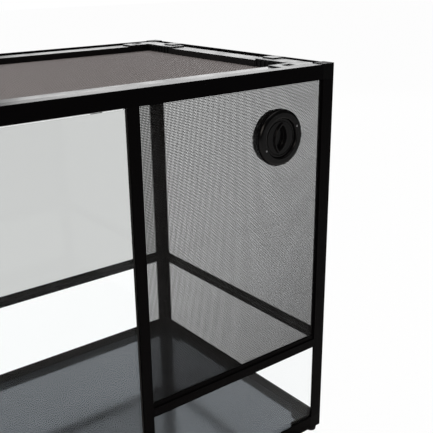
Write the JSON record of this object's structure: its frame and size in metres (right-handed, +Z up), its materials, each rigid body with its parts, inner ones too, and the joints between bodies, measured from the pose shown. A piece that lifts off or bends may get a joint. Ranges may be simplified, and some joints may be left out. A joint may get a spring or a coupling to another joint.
{
  "type": "reptile terrarium",
  "caption": "Front-opening reptile terrarium in a black angle-bar frame with clear walls, a mesh panel with a round cable grommet, a hinged glass door and a lift-off screen lid.",
  "frame": {"origin": "middle of the footprint on the table, the lock knob included in the footprint", "axes": "+X to the right seen from the front, -Y towards the front, +Z up"},
  "size_m": [0.655, 0.464, 0.6015],
  "materials": {
    "frame": "satin black coating",
    "lid_rail": "semi-gloss black coating",
    "moulding": "fine moulded texture",
    "floor": "gloss",
    "clear_pane": "clear",
    "tinted_pane": "light grey tint",
    "door_glass": "clear, polished edges",
    "mesh": "dark wire",
    "spline": "matte",
    "rubber": "matte",
    "steel": "plated"
  },
  "bodies": {
    "enclosure": {"post_front_left": "frame", "post_front_right": "frame", "post_back_left": "frame", "post_back_right": "frame", "mullion": "frame", "header_rail": "frame", "top_rail_left": "frame", "top_rail_right": "frame", "top_rail_back": "frame", "mid_rail_front": "frame", "mid_rail_left": "frame", "mid_rail_right": "frame", "mid_rail_back": "frame", "base_rail_front": "frame", "base_rail_left": "frame", "base_rail_right": "frame", "base_rail_back": "frame", "top_corners": "moulding", "base_corners": "moulding", "floor_panel": "clear_pane", "feet": "rubber", "foot_screws": "steel", "upper_pane_left": "clear_pane", "upper_pane_right": "clear_pane", "upper_pane_back": "tinted_pane", "lower_pane_left": "clear_pane", "lower_pane_right": "clear_pane", "lower_pane_back": "clear_pane", "lower_pane_front": "clear_pane", "mesh_panel_frame": "clear_pane", "mesh_panel_mesh": "clear_pane", "mesh_panel_spline": "clear_pane", "grommet_ring": "moulding", "grommet_nut": "moulding", "grommet_screws": "steel", "hinge_bushes": "moulding", "door_catch": "moulding"},
    "grommet_cap": {"grommet_cap": "moulding"},
    "door": {"door_glass": "door_glass", "hinge_clamps": "moulding", "hinge_pins": "steel", "clamp_screws": "steel", "door_edge_seal": "rubber", "catch_plate": "steel", "lock_bush": "moulding", "lock_nut": "steel"},
    "lock": {"lock_knob": "moulding", "lock_cam": "steel", "lock_screw": "steel"},
    "lid": {"lid_rail_front": "lid_rail", "lid_rail_back": "lid_rail", "lid_rail_left": "lid_rail", "lid_rail_right": "lid_rail", "lid_corners": "moulding", "lid_mesh": "mesh", "lid_spline": "spline"}
  },
  "joints": [
    {"name": "door_swing", "type": "hinge", "parent": "enclosure", "child": "door", "pos_m": [-0.297, -0.2104, 0], "axis": [0, 0, -1], "range_deg": [0, 100]},
    {"name": "lock_turn", "type": "hinge", "parent": "door", "child": "lock", "pos_m": [-0.03065, -0.218, 0.112], "axis": [0, 1, 0], "range_deg": [0, 90]},
    {"name": "grommet_cap_turn", "type": "hinge", "parent": "enclosure", "child": "grommet_cap", "pos_m": [0.2275, -0.218, 0.509], "axis": [0, -1, 0], "range_deg": [0, 90]},
    {"name": "lid_lift", "type": "slide", "parent": "enclosure", "child": "lid", "axis": [0, 0, 1], "range_m": [0, 0.12]}
  ]
}
